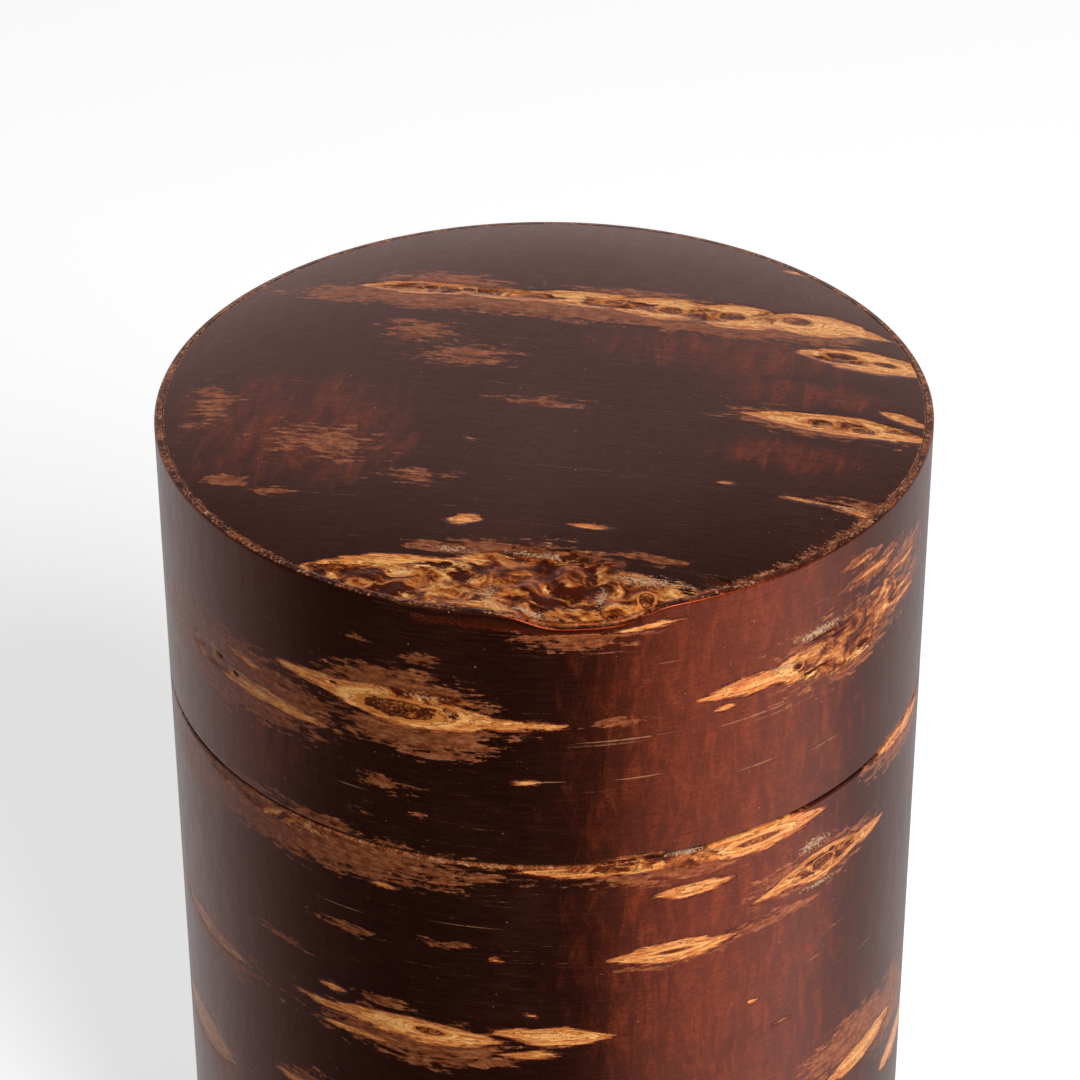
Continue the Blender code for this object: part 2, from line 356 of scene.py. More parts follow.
# Lens marks: place along, height, half length, half width, slope.
SIDE_LENSES = [
    (-14, 101.5, 10.5, 2.1, -0.04), (-22.5, 102.1, 6.5, 0.9, -0.03), (-4, 101, 6.5, 0.7, -0.02),
    (-33, 97, 9.5, 1, 0), (-27, 96.7, 5, 0.5, -0.03),
    (21.5, 102.1, 6.5, 1.1, 0.02), (28.5, 102, 7, 1.9, 0), (34.5, 101.8, 6.5, 2.6, 0),
    (43, 102.6, 5, 0.5, -0.03), (44.5, 101.4, 4, 0.4, -0.08), (18, 100.3, 1.2, 0.4, 0),
    (38, 108.2, 4.5, 0.4, -0.02), (35.5, 110.2, 2.5, 0.3, 0.05), (44.5, 105.6, 4, 0.4, -0.05),
    (9.5, 111.9, 4.5, 0.35, -0.02), (-33.5, 100, 3, 0.5, -0.05),
    (-1.8, 94.3, 1.5, 0.35, 0), (-12.8, 89.1, 1.2, 0.22, -0.05), (-19, 87.8, 1.6, 0.22, 0),
    (3, 83.3, 6, 0.8, -0.03), (9.5, 83.6, 6.5, 1.2, -0.02), (22.5, 82.9, 9.3, 1.5, -0.02),
    (15.2, 79.2, 4.7, 0.9, 0), (31.5, 75.8, 7, 1.9, -0.02), (25.5, 75.4, 4, 0.6, 0.1),
    (38.5, 75.4, 4.5, 0.9, -0.05), (13, 71.9, 7.2, 1.35, 0), (22, 72.3, 3.5, 0.3, -0.04),
    (-35, 83.4, 8, 0.9, 0), (47.5, 83.3, 7.5, 0.9, -0.06),
    (-13.5, 61.8, 10, 1.5, -0.02), (-24, 61.5, 5, 0.5, 0.02), (0.8, 62.6, 6.5, 1.25, -0.05),
    (-1.5, 60.2, 3.5, 0.6, 0.05), (-20.5, 59.3, 4, 0.5, 0), (-44, 59.8, 8.5, 1.1, 0.02),
    (-5, 72.4, 1, 0.3, 0), (22.3, 62.3, 0.8, 0.35, 0), (-23, 64, 2, 0.45, 0),
    (-16.7, 79.3, 2.2, 0.25, 0), (-1.5, 65.3, 0.9, 0.2, -0.2), (26, 57.8, 1.5, 0.25, 0),
    (41, 45.3, 8.5, 1.5, 0.04), (53, 38.5, 8, 1.9, 0.02), (-48, 44, 9, 2.3, 0.02),
]
# Rubbed tan patches round the marks: place along, height, half length, half width, fill.
SIDE_PATCHES = [
    (-14.5, 103.3, 8.5, 2.6, 1.2), (-12.5, 98.8, 8.5, 2.4, 1.2), (-38, 97.6, 12, 3.4, 1.5),
    (34, 102, 12, 4.8, 1), (35, 98.8, 7, 1.8, 0.8), (3, 111.2, 7, 1.9, 1),
    (43, 102.5, 8, 2.6, 1), (-12, 107.5, 3, 0.8, 0.8), (-10, 96.6, 4.5, 1, 0.9),
    (-50, 91, 6, 2.5, 0.8), (14, 82.2, 12, 1.8, 1), (31.5, 75.8, 11, 2.8, 1),
    (-35, 81.6, 15, 3.2, 1), (-12, 82.3, 13, 1.6, 0.8), (47, 82.6, 10, 2.4, 1),
    (-14, 60.5, 13, 3, 1), (-44, 59.5, 12, 3, 1), (-30, 67.4, 5, 0.8, 0.8),
    (13, 71, 8, 1.2, 0.8), (24, 72, 7, 1, 0.9), (38, 108.2, 6.5, 1.2, 1),
    (36, 110.4, 4, 0.9, 1), (45, 106, 6, 2.2, 1), (-13, 57.5, 4, 0.8, 0.8),
    (-19, 108.6, 3, 0.8, 0.6), (-16, 92, 7, 2, 0.5), (7, 101, 5, 0.9, 0.7),
    (39, 48.6, 10, 3.4, 1.1), (49, 46, 9, 6, 0.9), (-47, 43.5, 10, 4.5, 1.1),
    (-27, 82.4, 15, 2.4, 1.45), (-45, 81, 8, 3, 1.2), (-46, 60, 10, 2.2, 1.3),
    (-21, 72.5, 6, 1.2, 0.7), (-10, 73.5, 5, 0.8, 0.7), (-17, 64.5, 5, 1, 0.8),
]
# Knot eyes inside the marks: place along, height, half length, half width.
SIDE_EYES = [
    (-14.3, 101.3, 5.2, 1.35), (26.8, 102, 0.8, 0.6), (22.5, 82.8, 3.6, 0.5),
    (31.5, 75.8, 2.1, 0.9), (13.2, 71.9, 3, 0.3), (-12, 61.9, 2.2, 0.6), (8.2, 83.8, 1.6, 0.5),
]
# Swirled burr: place along, height, half length, half width.
SIDE_BURRS = [
    (33.5, 102, 7, 3.3), (-40, 97.6, 4, 1.6), (-12, 103.2, 5, 0.8), (8, 83.8, 7, 0.9),
    (32, 75.9, 5, 1.2), (-33, 83.2, 9, 0.9), (28, 102.3, 2, 1.4), (-9.3, 101.5, 1, 0.9),
    (14.5, 83, 3, 0.9), (40, 103.6, 4, 2.2),
]
# Dry grey crumbs along an edge of a mark, and dark pits: place along, height, half length, half width.
SIDE_CRUMBS = [
    (29.5, 105, 5, 0.9), (-9.2, 101.6, 0.6, 0.5), (-11.5, 103.2, 3, 0.35), (30, 78.9, 3.2, 1.2),
    (14, 84, 3, 0.5), (31, 73.4, 4, 0.5), (25, 102.6, 2, 0.5),
]
SIDE_PITS = [
    (-21.6, 102.2, 0.5, 0.35), (-38.2, 98, 0.9, 0.45), (-35.2, 97.3, 0.7, 0.45), (26.8, 101.9, 0.5, 0.35),
    (-9.2, 101.2, 0.8, 0.3), (-43, 84.1, 8, 0.5), (30, 104.2, 3.5, 0.2), (36.5, 100, 1.6, 0.5),
    (29.5, 100.6, 3.5, 0.2), (32.5, 103.4, 1.6, 0.3), (-3, 112.5, 11, 0.7),
]
# Scores in the polish: place along, height, half length, half width, slope.
SIDE_SCORES = [
    (8, 98.9, 5.5, 0.1, 0), (6, 98.5, 7, 0.09, 0), (22, 98.3, 5.5, 0.11, 0.005),
    (25, 97.6, 6.5, 0.09, 0), (9.2, 94.2, 3.2, 0.11, 0), (-0.5, 94.4, 3, 0.09, 0),
    (22, 92.2, 3, 0.09, 0), (31, 91, 3.5, 0.09, 0), (12, 107.2, 2, 0.08, 0),
    (6, 109.2, 2.4, 0.08, 0), (-20, 90.6, 3, 0.09, 0), (-24, 75, 6, 0.1, 0.02),
    (-8, 76.2, 5, 0.08, 0), (35, 66.5, 4, 0.1, 0.05), (30, 63.8, 3.5, 0.09, 0.05),
    (38, 60, 5, 0.09, 0.04), (20, 66, 2, 0.08, 0), (-40, 70, 5, 0.09, 0),
]
# Redder ground with a flame figure; at the front right it also paints part of the key light's glow. Place
# along, height, half length, half width.
SIDE_BLUSHES_AND_GLOW = [
    (20, 98, 17, 26), (20, 72, 17, 20), (-36, 90, 9, 5), (24, 40, 20, 25),
    (84, 60, 11, 45), (-92, 80, 9, 30), (118, 85, 7, 20),
]
SIDE_MARKS = {"lens": SIDE_LENSES, "patch": SIDE_PATCHES, "eye": SIDE_EYES, "burr": SIDE_BURRS,
              "crumbs": SIDE_CRUMBS, "pits": SIDE_PITS, "score": SIDE_SCORES, "blush": SIDE_BLUSHES_AND_GLOW}


def wrap_round(along, girth):
    """A distance along the bark, brought to the nearer way round."""
    return (along + girth / 2) % girth - girth / 2


def lens_depth(along, across, lenses, girth, lean=0.0):
    """How deep a point lies in the nearest lens mark, in mm, and below 0 outside all of them.

    A lens is half_width wide at its middle and falls to pointed ends as 1 - x squared, with
    x the run over the half length. Depth is that width less the distance off its line.
    """
    depth = np.full(along.shape, -9.0)
    for place, height, half_length, half_width, slope in lenses:
        run, rise = mark_frame(along, across, place, height, girth, lean)
        fullness = half_width * (1 - np.clip(np.abs(run) / half_length, 0, 1) ** 2)
        beyond = np.maximum(np.abs(run) - half_length, 0)
        depth = np.maximum(depth, fullness - np.abs(rise - slope * run) - beyond)
    return depth


def oval_depth(along, across, ovals, girth, lean=0.0):
    """How far inside the nearest oval a point is: 1 at a centre, 0 on the outline, -1 a size out.

    An oval with a fill below 1 counts for that much less, so only the strongest grain shows it.
    """
    depth = np.full(along.shape, -2.0)
    for place, height, half_length, half_width, *fill in ovals:
        run, rise = mark_frame(along, across, place, height, girth, lean)
        inside = 1 - np.hypot(run / half_length, rise / half_width)
        faint = 1 - fill[0] if fill else 0.0
        depth = np.maximum(depth, inside - faint)
    return depth


def mark_frame(along, across, place, height, girth, lean):
    """A point's run along the grain and rise across it, from a mark's middle."""
    off = along - place
    if girth:
        off = wrap_round(off, girth)
    up = across - height
    return off * math.cos(lean) + up * math.sin(lean), up * math.cos(lean) - off * math.sin(lean)


def scatter(marks, count, seed, low, high):
    """Adds further marks between two places, of the same make and sizes, to lists of marks."""
    random = np.random.default_rng(seed)
    for _ in range(count):
        place, height = random.uniform(low, high)
        half_length = 2.5 + 10.0 * random.random() ** 1.3
        half_width = half_length * random.uniform(0.11, 0.19)
        slope = random.normal(0, 0.02)
        side = random.choice([-1, 1])
        tail = (place + side * half_length * 0.7, height, half_length * random.uniform(0.5, 0.8),
                half_width * 0.45, slope)
        marks["lens"] += [(place, height, half_length, half_width, slope), tail]
        if half_length > 4.0:
            drift = random.normal(0, 2)
            marks["patch"].append((place + drift, height + random.normal(0, 0.8),
                                   half_length * 1.25, half_width * 2.2, 1.0))
            marks["eye"].append((place, height, half_length * 0.3, half_width * 0.5))
            marks["burr"].append((place - drift, height, half_length * 0.4, half_width * 0.8))
            marks["crumbs"].append((place + drift, height + half_width, half_length * 0.3, 0.4))
            marks["score"].append((place + 3 * drift, height + 4.0, half_length * 0.8, 0.1, 0.0))


BARK_RADIUS = section_of("body_side_bark")[1]
BARK_GIRTH = 2 * math.pi * BARK_RADIUS
SIDE_SEGMENTS = 448
scatter(SIDE_MARKS, 34, 11, (56.0, 6.0), (BARK_GIRTH - 56.0, 111.0))
scatter(SIDE_MARKS, 9, 4, (-50.0, 6.0), (50.0, 52.0))


def mark_fields(along, across, marks, girth, lean=0.0):
    """Every field of a sheet's marks at the given places, with an edge still whole."""
    fields = {"edge": np.zeros_like(along)}
    for kind, places in marks.items():
        measure = lens_depth if kind in ("lens", "score") else oval_depth
        fields[kind] = np.maximum(measure(along, across, places, girth, lean), -4.0)
    return fields


def side_marks(heights):
    """The places along and across the side bark on a turned grid, and its fields of marks."""
    along = np.arange(SIDE_SEGMENTS) * (BARK_GIRTH / SIDE_SEGMENTS)
    along, across = np.meshgrid(along, heights)
    return along, across, mark_fields(along, across, SIDE_MARKS, BARK_GIRTH)


BARK_FIELDS = ("Lens", "Patch", "Eye", "Burr", "Crumbs", "Pits", "Score", "Blush", "Edge")


def cherry_bark_group():
    """The figure of polished cherry bark.

    Fibre is the place in mm with Z across the grain, and the rest are the fields of marks.
    Noise drawn out along the grain frays every outline. Rings inside a lens follow its
    outline and bend round its eye.
    """
    group, bench, given, result = new_group(
        "cherry_bark", {"Fibre": "Vector", **{field: "Float" for field in BARK_FIELDS}},
        {"Color": "Color", "Roughness": "Float", "Height": "Float"})
    fibre = given["Fibre"]
    clouds = bench.noise(bench.stretch(fibre, (0.08, 0.08, 0.06)), detail=3.0)
    flames = bench.noise(bench.stretch(fibre, (0.7, 0.7, 0.2)), detail=5.0, roughness=0.60, warp=0.7)
    streaks = bench.noise(bench.stretch(fibre, (0.22, 0.22, 4.0)), detail=5.0, roughness=0.62)
    frays = bench.noise(bench.stretch(fibre, (0.32, 0.32, 1.9)), detail=7.0, roughness=0.68)
    mottle = bench.noise(bench.stretch(fibre, (0.9, 0.9, 2.0)), detail=5.0, roughness=0.68)
    grit = bench.noise(bench.stretch(fibre, (3.2, 3.2, 5.0)), detail=3.0, roughness=0.72)
    swirl = bench.noise(bench.stretch(fibre, (0.3, 0.3, 0.55)), detail=5.0, roughness=0.60, warp=1.3)

    # Dark ground: level streaks and fine grit, and upright flames where the bark is redder. At the front
    # right the redder ground also paints part of the key light's glow.
    blush = bench.ease(bench.sum(given["Blush"], (flames, 1.1), (clouds, 0.6), -0.62), 0.05, 0.75)
    ground = bench.ramp(bench.sum((clouds, 0.5), (grit, 0.28), (frays, 0.3)),
                        (0.4, (0.005, 0.0021, 0.0016)), (0.56, (0.0135, 0.0046, 0.0031)),
                        (0.68, (0.03, 0.01, 0.0062)))
    red = bench.ramp(bench.sum((flames, 0.48), (grit, 0.34), (mottle, 0.22)),
                     (0.42, (0.013, 0.0036, 0.0022)), (0.52, (0.055, 0.0095, 0.0036)),
                     (0.64, (0.15, 0.027, 0.0085)))
    # The redder ground: partly the bark's own colour, and partly painted glow where the key light falls.
    ground = bench.mix(blush, ground, red)
    ground = bench.mix(bench.times(bench.ease(streaks, 0.56, 0.78), 0.7), ground,
                       (0.06, 0.02, 0.012))
    ground = bench.mix(bench.times(bench.ease(streaks, 0.46, 0.28), 0.8), ground,
                       (0.005, 0.002, 0.0016))

    # Rubbed tan patches, which break into islands at both ends.
    fray = bench.sum((frays, 2.9), (mottle, 1.2))
    patch = bench.sum(given["Patch"], fray, -2.18)
    patch_mask = bench.ease(patch, 0.0, 0.22)
    tan = bench.ramp(bench.sum((mottle, 0.55), (streaks, 0.3), (grit, 0.2)),
                     (0.4, (0.075, 0.018, 0.006)), (0.52, (0.215, 0.06, 0.021)),
                     (0.66, (0.44, 0.155, 0.06)))
    colour = bench.mix(bench.times(patch_mask, 0.92), ground, tan)

    # Amber lens marks, paler towards the middle, with growth lines.
    ragged = bench.sum((frays, 1.7), (grit, 0.3), -1.0)
    depth = bench.math("ADD", given["Lens"], ragged)
    lens_mask = bench.ease(depth, -0.02, 0.07)
    ring_place = bench.math("MINIMUM", depth, bench.times(given["Eye"], -1.5))
    ring_turn = bench.sum((ring_place, 6.5), (frays, 5.0), (mottle, 8.0))
    wave = bench.math("SINE", ring_turn)
    tone = bench.sum((bench.math("MINIMUM", depth, 1.1), 0.2), (streaks, 0.7), (mottle, 0.85),
                     (wave, 0.06), -0.35)
    amber = bench.ramp(tone, (0.22, (0.11, 0.024, 0.007)), (0.36, (0.36, 0.09, 0.021)),
                       (0.5, (0.68, 0.235, 0.058)), (0.68, (0.95, 0.48, 0.155)))
    lines = bench.ease(bench.math("SINE", bench.times(ring_turn, 1.9)), 0.7, 0.98)
    lines = bench.times(lines, bench.ease(mottle, 0.4, 0.55))
    amber = bench.mix(bench.times(lines, 0.8), amber, (0.17, 0.05, 0.016))
    amber = bench.mix(bench.ease(depth, 0.3, 0.04), amber, (0.33, 0.088, 0.026))
    colour = bench.mix(lens_mask, colour, amber)

    # A dark line along parts of the outline.
    nearness = bench.math("ABSOLUTE", bench.math("ADD", depth, 0.08))
    outline = bench.times(bench.ease(nearness, 0.13, 0.04), bench.ease(mottle, 0.46, 0.56))
    colour = bench.mix(outline, colour, (0.012, 0.005, 0.003))

    # Swirled burr, from near black to tan, cracked into small plates.
    burr_mask = bench.ease(bench.sum(given["Burr"], (frays, 1.9), (mottle, 0.9), -1.42), 0.0, 0.12)
    burr = bench.ramp(bench.sum((swirl, 0.85), (grit, 0.16), (mottle, 0.1)),
                      (0.455, (0.009, 0.0032, 0.0018)), (0.52, (0.13, 0.024, 0.0045)),
                      (0.57, (0.37, 0.098, 0.018)), (0.63, (0.57, 0.215, 0.052)),
                      (0.71, (0.88, 0.47, 0.18)))
    colour = bench.mix(burr_mask, colour, burr)
    plates = bench.node("ShaderNodeTexVoronoi", feature="DISTANCE_TO_EDGE")
    bench.feed(plates.inputs["Vector"], bench.sway(fibre, mottle, (0.55, 0.55, 1.1)))
    bench.feed(plates.inputs["Scale"], 1.0)
    cracks = bench.times(bench.ease(plates.outputs["Distance"], 0.045, 0.01), burr_mask)
    cracks = bench.times(cracks, bench.ease(clouds, 0.42, 0.6))
    colour = bench.mix(bench.times(cracks, 0.6), colour, (0.03, 0.01, 0.005))

    # Knot eyes: an orange ring, a dark ring, and a dappled heart.
    eye = bench.sum(given["Eye"], (mottle, 0.8), (grit, 0.2), -0.5)
    heart = bench.ramp(bench.sum((grit, 0.55), (swirl, 0.5)), (0.46, (0.018, 0.0045, 0.002)),
                       (0.54, (0.11, 0.024, 0.006)), (0.63, (0.52, 0.165, 0.036)))
    colour = bench.mix(bench.ease(eye, 0.02, 0.08), colour, (0.58, 0.19, 0.04))
    colour = bench.mix(bench.ease(eye, 0.24, 0.3), colour, (0.045, 0.012, 0.005))
    colour = bench.mix(bench.ease(eye, 0.34, 0.44), colour, heart)

    # Dry crumbs, dark pits and long thin scores.
    crumbs = bench.ease(bench.sum(given["Crumbs"], (grit, 3.4), (frays, 1.0), -2.35), 0.25, 0.55)
    colour = bench.mix(bench.times(crumbs, 0.85), colour, (0.56, 0.37, 0.22))
    pits = bench.ease(bench.sum(given["Pits"], (mottle, 2.2), -1.1), 0.15, 0.4)
    colour = bench.mix(pits, colour, (0.009, 0.0035, 0.0025))
    score = bench.times(bench.ease(given["Score"], -0.02, 0.05), bench.ease(mottle, 0.36, 0.52))
    hair = bench.noise(bench.stretch(fibre, (0.09, 0.09, 6.0), shift=(7, 3, 1)), detail=1.0)
    hairs = bench.times(bench.ease(hair, 0.735, 0.76), bench.ease(mottle, 0.45, 0.6))
    score = bench.math("MAXIMUM", score, bench.times(hairs, 0.35))
    colour = bench.mix(bench.times(score, 0.75), colour, (0.42, 0.19, 0.095))

    # The frayed cut edge. Along the body's top edge by the seam, the same colours are made stronger and
    # paint a highlight over some wear.
    edge = bench.ease(bench.sum(given["Edge"], (frays, 2.4), (grit, 1.8), -2.1), 0.66, 0.9)
    worn_and_highlit = bench.ramp(bench.sum((grit, 0.5), (mottle, 0.5)), (0.42, (0.06, 0.014, 0.005)),
                      (0.53, (0.26, 0.08, 0.026)), (0.66, (0.56, 0.29, 0.15)))
    colour = bench.mix(edge, colour, worn_and_highlit)

    # Specks of dust in the polish.
    specks = bench.node("ShaderNodeTexVoronoi")
    bench.feed(specks.inputs["Vector"], bench.stretch(fibre, (0.55, 0.55, 0.55)))
    bench.feed(specks.inputs["Scale"], 1.0)
    dust = bench.times(bench.ease(specks.outputs["Distance"], 0.055, 0.03), bench.ease(clouds, 0.4, 0.6))
    colour = bench.mix(dust, colour, (0.3, 0.22, 0.19))

    bench.feed(result["Color"], colour)
    dull = bench.math("MAXIMUM", crumbs, bench.math("MAXIMUM", pits, cracks))
    bench.feed(result["Roughness"], bench.sum((flames, 0.14), (grit, 0.1), (patch_mask, 0.05),
                                              (dull, 0.3), 0.23))
    marked = bench.math("MAXIMUM", lens_mask, burr_mask)
    bench.feed(result["Height"], bench.sum(
        (streaks, 0.12), (flames, 0.3), (grit, 0.1), (marked, -0.1), (outline, -0.3), (pits, -0.9),
        (bench.times(lines, lens_mask), -0.22), (bench.times(swirl, burr_mask), 1.8),
        (cracks, -0.5), (bench.times(crumbs, grit), 0.8), (score, -0.15)))
    return group


CHERRY_BARK = cherry_bark_group()


def bark_material(name, turn):
    """Polished bark. The turn brings the place to the fibre's frame, with Z across the grain."""
    material, bench, shader = new_material(name)
    fibre = bench.stretch(bench.place(), (1, 1, 1), turn=turn)
    fields = {field: bench.node("ShaderNodeAttribute", attribute_name=field.lower()).outputs["Fac"]
              for field in BARK_FIELDS}
    bark = bench.use(CHERRY_BARK, Fibre=fibre, **fields)
    bench.finish(shader, bark["Color"], bark["Roughness"], 0.12, bark["Height"])
    shader.inputs["IOR"].default_value = 1.6
    shader.inputs["Specular IOR Level"].default_value = 0.9
    shader.inputs["Specular Tint"].default_value = (1.0, 0.11, 0.01, 1.0)
    shader.inputs["Coat Weight"].default_value = 0.12
    shader.inputs["Coat Roughness"].default_value = 0.14
    shader.inputs["Coat IOR"].default_value = 1.4
    return material


UPRIGHT = (0, 0, 0)
FLAT = (math.pi / 2, 0, 0)
SIDE_BARK = bark_material("polished_side_bark", UPRIGHT)
SEAM_EDGE = 0.28
BASE_EDGE = 0.60
COARSE_FROM = 48.0
# Where the body's top edge carries wear and a painted highlight: its middle and half width along the bark.
HIGHLIT_WORN_PLACE = -20.0
HIGHLIT_WORN_HALF = 26.0


def uneven(along, across, seed, period):
    """A rolling surface between about -1 and 1: eight crossed sine waves near a period in mm."""
    random = np.random.default_rng(seed)
    total = np.zeros_like(along)
    for _ in range(8):
        turn, phase = random.uniform(0, 2 * np.pi, 2)
        wave = 2 * np.pi / (period * random.uniform(0.6, 1.5))
        total += np.sin(wave * (along * np.cos(turn) + across * np.sin(turn)) + phase)
    return total / 4


def sunk_marks(marks, along, across):
    """Real relief below the polish: shallow lens marks, deeper pits and an uneven burr."""
    depth = 0.04 * np.clip(marks["lens"] / 0.4, 0, 1)
    depth += 0.10 * np.clip(marks["pits"] * 2, 0, 1) + 0.04 * np.clip(marks["crumbs"], 0, 1)
    burr = np.clip(marks["burr"] * 3, 0, 1)
    depth += burr * (0.07 + 0.07 * uneven(along, across, 5, 2.2))
    return depth


def outer_skin(radii):
    """1 for the rows of a side bark's outline that lie on its outside, 0 for the others."""
    return (radii > BARK_RADIUS - 0.05)[:, None]


inner, outer, base, top = section_of("body_side_bark")
outline = join_outline(
    quarter_round(outer - SEAM_EDGE, top - SEAM_EDGE, SEAM_EDGE, 90),
    (np.full(125, outer), np.linspace(top - SEAM_EDGE, COARSE_FROM, 125)),
    (np.full(66, outer), np.linspace(COARSE_FROM - 0.5, base + BASE_EDGE, 66)),
    quarter_round(outer - BASE_EDGE, base + BASE_EDGE, BASE_EDGE, 0),
    ([inner, inner], [base, top]))
along, across, marks = side_marks(outline[1])
# Left of the front, the body's top edge gets a stronger edge colour: some wear, and a painted highlight.
worn_and_highlit_part = np.exp(-(wrap_round(along - HIGHLIT_WORN_PLACE, BARK_GIRTH) / HIGHLIT_WORN_HALF) ** 4)
marks["edge"] = np.clip(1 - (top - 0.10 - across) / 0.3, 0, 1) * (0.3 + 1.6 * worn_and_highlit_part)
lift = (-sunk_marks(marks, along, across) * outer_skin(outline[0]), np.zeros_like(along))
body_bark = turned_surface("body_side_bark_sheet", *outline, SIDE_SEGMENTS, lift, marks)
settle(body_bark, SIDE_BARK, "container", "side_bark", "body_side_bark")


# ------------------------------------------------------------
# The base. A disc of polished bark covers the bottom board and the end of the tube, inside
# the side bark. The caddy stands on it.

TOP_LEAN = math.radians(-11)


def disc_places(radii, segments):
    """Places to the right of and behind the middle, on the grid of a turned disc."""
    angles = np.arange(segments) * (2 * np.pi / segments)
    return radii[:, None] * np.sin(angles), -radii[:, None] * np.cos(angles)


def no_marks():
    return {kind: [] for kind in SIDE_MARKS}


DISC_BARK = bark_material("polished_disc_bark", FLAT)
DISC_EDGE = 0.15
DISC_ROWS = 60
DISC_SEGMENTS = 360

outline = disc_outline(*section_of("bottom_bark")[1:], DISC_EDGE, DISC_ROWS)
base_marks = no_marks()
scatter(base_marks, 7, 21, (-30.0, -30.0), (30.0, 30.0))
marks = mark_fields(*disc_places(outline[0], DISC_SEGMENTS), base_marks, None)
base_bark = turned_surface("bottom_bark_disc", *outline, DISC_SEGMENTS, marks=marks)
settle(base_bark, DISC_BARK, "container", "base_bark", "bottom_bark")


# ------------------------------------------------------------
# The linings and the neck. Thinner plain bark lines the tubes, covers the floor and the
# underside of the lid's top, and faces the sleeve, whose upper part is the neck.


def lining_material(name, turn, pale, deep, roughness):
    """Plain bark: level streaks and a few faint marks, with little polish."""
    material, bench, shader = new_material(name)
    fibre = bench.stretch(bench.place(), (1, 1, 1), turn=turn)
    streaks = bench.noise(bench.stretch(fibre, (0.15, 0.15, 3.0)), detail=5.0, roughness=0.6)
    clouds = bench.noise(bench.stretch(fibre, (0.08, 0.08, 0.25)), detail=3.0)
    tone = bench.math("ADD", bench.times(streaks, 0.6), bench.times(clouds, 0.4))
    colour = bench.mix(bench.ease(tone, 0.36, 0.64), deep, pale)
    dashes = bench.noise(bench.stretch(fibre, (0.12, 0.12, 1.1), shift=(5, 2, 8)), detail=2.0)
    mark = bench.ease(dashes, 0.66, 0.7)
    colour = bench.mix(bench.times(mark, 0.8), colour, (0.42, 0.2, 0.09))
    gloss = bench.math("ADD", bench.times(streaks, 0.2), roughness)
    bench.finish(shader, colour, gloss, 0.04, bench.math("SUBTRACT", streaks, mark))
    return material


LINING_PALE = (0.2, 0.08, 0.042)
LINING_DEEP = (0.085, 0.03, 0.016)
NECK_BARK = lining_material("smoothed_neck_bark", UPRIGHT, (0.16, 0.055, 0.03), (0.055, 0.018, 0.01), 0.25)
WALL_LINING = lining_material("wall_lining_bark", UPRIGHT, LINING_PALE, LINING_DEEP, 0.45)
DISC_LINING = lining_material("disc_lining_bark", FLAT, LINING_PALE, LINING_DEEP, 0.45)
LINING_ROWS = 12
FLOOR_EDGE = 0.12
FLOOR_ROWS = 20

for node, body, slot, material, edge in (
        ("body_side_lining", "container", "lining_bark", WALL_LINING, 0.1),
        ("inner_sleeve_bark", "container", "neck_bark", NECK_BARK, 0.2),
        ("inner_sleeve_lining", "container", "lining_bark", WALL_LINING, 0.15),
        ("lid_side_lining", "lid", "lining_bark", WALL_LINING, 0.15)):
    outline = ring_outline(*section_of(node), edge, LINING_ROWS)
    layer = turned_surface(node + "_layer", *outline, SMOOTH_TURN)
    settle(layer, material, body, slot, node)

for node, body in (("floor_bark", "container"), ("lid_top_lining", "lid")):
    outline = disc_outline(*section_of(node)[1:], FLOOR_EDGE, FLOOR_ROWS)
    layer = turned_surface(node + "_layer", *outline, SMOOTH_TURN)
    settle(layer, DISC_LINING, body, "lining_bark", node)


# ------------------------------------------------------------
# The lid's side. It is the upper piece of the same wrapped sheet, so it takes its marks
# from the same list. Its top edge is rubbed round where the top's bark meets it.

SHOULDER_EDGE = 0.26
CROWN_POWER = 4
ROLL_PLACE = 4.0
ROLL_HALF = 6.0
ROLL_SAG = 1.55
ROLL_REACH = 3.5
WORN_RIM = 0.76


def crown_height(radii):
    """The top's dome: the fall from the middle grows as the radius to the fourth."""
    peak = section_of("lid_top_bark")[3]
    rise = peak - section_of("lid_side_bark")[3]
    return peak - rise * (radii / BARK_RADIUS) ** CROWN_POWER


def roll(along):
    """Where the front knot rolls over the edge: 1 in the middle, down to 0 at both ends."""
    return np.exp(-(wrap_round(along - ROLL_PLACE, BARK_GIRTH) / ROLL_HALF) ** 4)


inner, outer, base, _ = section_of("lid_side_bark")
ledge = np.linspace(inner, outer - SHOULDER_EDGE, 4)
shoulder = crown_height(outer - SHOULDER_EDGE) - SHOULDER_EDGE
outline = join_outline(
    (ledge[:-1], crown_height(ledge[:-1]) - 0.02),
    quarter_round(outer - SHOULDER_EDGE, shoulder, SHOULDER_EDGE, 90),
    (np.full(186, outer), np.linspace(shoulder, base + SEAM_EDGE, 186)),
    quarter_round(outer - SEAM_EDGE, base + SEAM_EDGE, SEAM_EDGE, 0),
    ([inner], [base]))
along, across, marks = side_marks(outline[1])
marks["edge"] = WORN_RIM * np.clip((across - shoulder - 0.15) / 0.1, 0, 1)
sag = ROLL_SAG * roll(along) * np.clip((across - shoulder + ROLL_REACH) / ROLL_REACH, 0, 1) ** 2
lift = (-sunk_marks(marks, along, across) * outer_skin(outline[0]), -sag)
lid_bark = turned_surface("lid_side_bark_sheet", *outline, SIDE_SEGMENTS, lift, marks)
settle(lid_bark, SIDE_BARK, "lid", "side_bark", "lid_side_bark")


# ------------------------------------------------------------
# The lid's top. A disc of bark is ironed onto the domed board with its grain leaning a
# little, and trimmed flush inside the side bark. At the front a large knot lies across
# the edge. Places are in mm to the right of and behind the centre.

